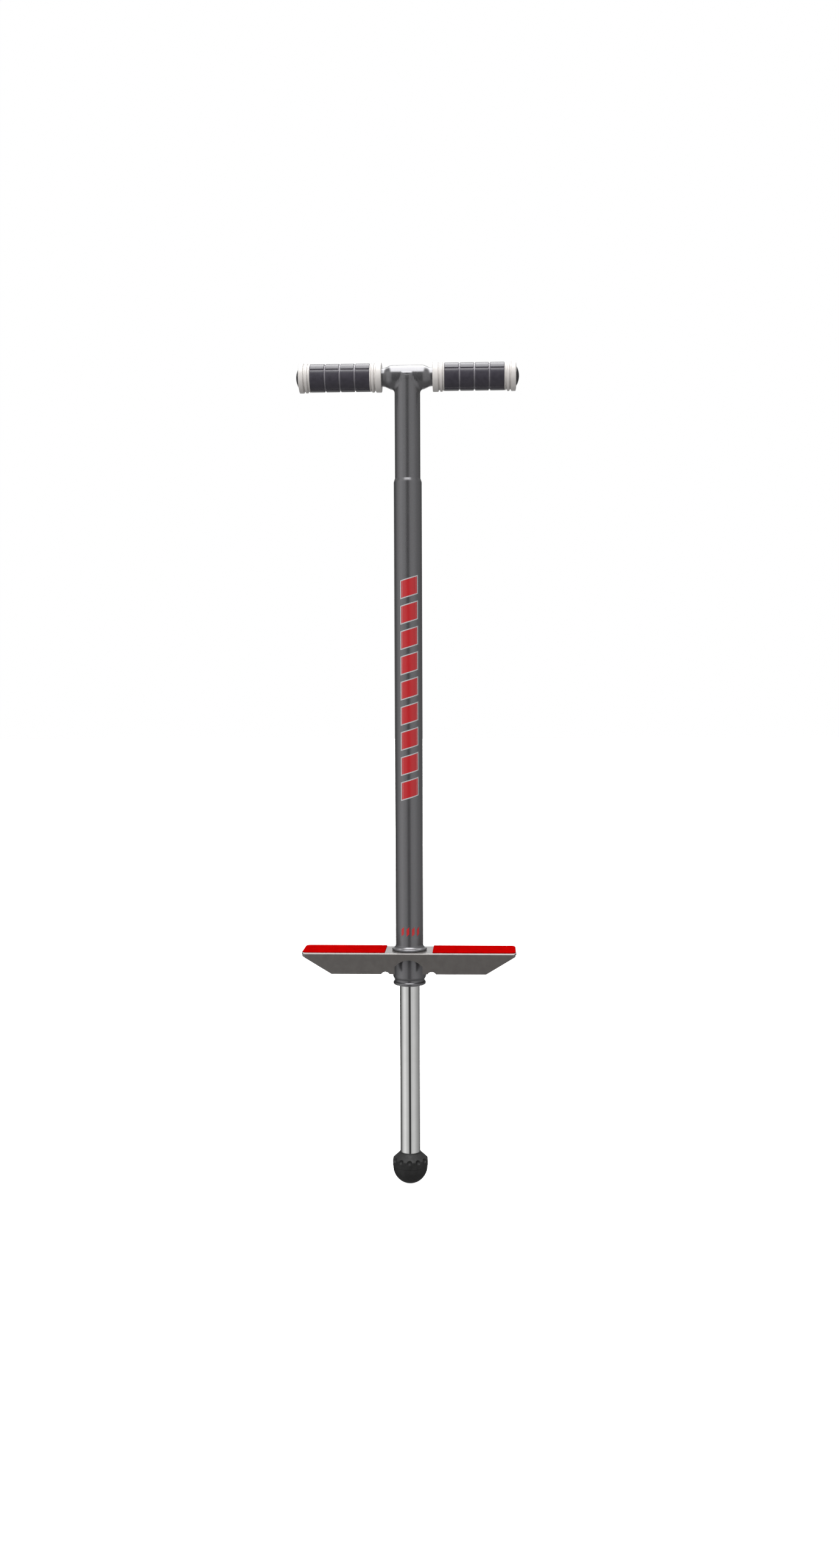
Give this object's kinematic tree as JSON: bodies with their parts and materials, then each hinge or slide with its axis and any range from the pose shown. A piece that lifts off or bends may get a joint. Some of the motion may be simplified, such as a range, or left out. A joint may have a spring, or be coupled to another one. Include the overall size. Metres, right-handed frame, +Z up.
{
  "type": "pogo stick",
  "caption": "Spring pogo stick: T handlebar with block grips on a steel tube, a channel foot plate with red tread pads, and a chrome plunger on a ball tip.",
  "frame": {"origin": "lowest point of the rubber ball tip, on the axis of the tube", "axes": "+Z up along the tube, +X along the handlebar to the right grip, -Y the front face"},
  "size_m": [0.2758, 0.0546, 1.035],
  "materials": {
    "frame_paint": "dark grey gloss paint on steel tube",
    "plate_paint": "dark grey satin paint on bent steel plate",
    "chrome_plate": "bright plated steel tube",
    "tip_rubber": "moulded black rubber",
    "pad_red": "satin red tread pad",
    "grip_white": "off-white moulded rubber",
    "grip_dark": "dark grey moulded rubber, satin",
    "plug_black": "black moulded plastic",
    "nylon": "natural nylon",
    "spring_steel": "oil tempered spring wire",
    "zinc_steel": "zinc plated steel",
    "bumper_rubber": "black rubber",
    "decal_red": "printed sticker film, red",
    "decal_silver": "printed sticker film, silver"
  },
  "bodies": {
    "frame": {"main_spring": "spring_steel", "top_spring_stop": "zinc_steel", "rebound_bumper": "bumper_rubber", "lower_bushing": "nylon", "guide_housing": "frame_paint", "main_tube": "frame_paint", "plate_collar": "frame_paint", "foot_plate": "plate_paint", "tread_pad_left": "pad_red", "tread_pad_right": "pad_red", "handle_stem": "frame_paint", "handlebar": "frame_paint", "handle_weld": "frame_paint", "grip_core_left": "grip_white", "grip_core_right": "grip_white", "grip_sleeve_left": "grip_dark", "grip_sleeve_right": "grip_dark", "bar_plug_left": "plug_black", "bar_plug_right": "plug_black"},
    "spring_seat": {"spring_seat": "zinc_steel"},
    "plunger": {"foot_tip": "tip_rubber", "tip_washer": "zinc_steel", "plunger_shaft": "chrome_plate", "stop_collar": "zinc_steel", "stop_pin": "zinc_steel", "plunger_cap": "nylon"}
  },
  "joints": [
    {"name": "plunger_slide", "type": "slide", "parent": "frame", "child": "spring_seat", "axis": [0, 0, 1], "range_m": [0, 0.13], "stiffness_N_per_m": 8800, "springref_m": -0.02, "deforming": ["main_spring"]},
    {"name": "plunger_spin", "type": "hinge", "parent": "spring_seat", "child": "plunger", "pos_m": [0, 0, 0.3], "axis": [0, 0, 1], "continuous": true}
  ]
}
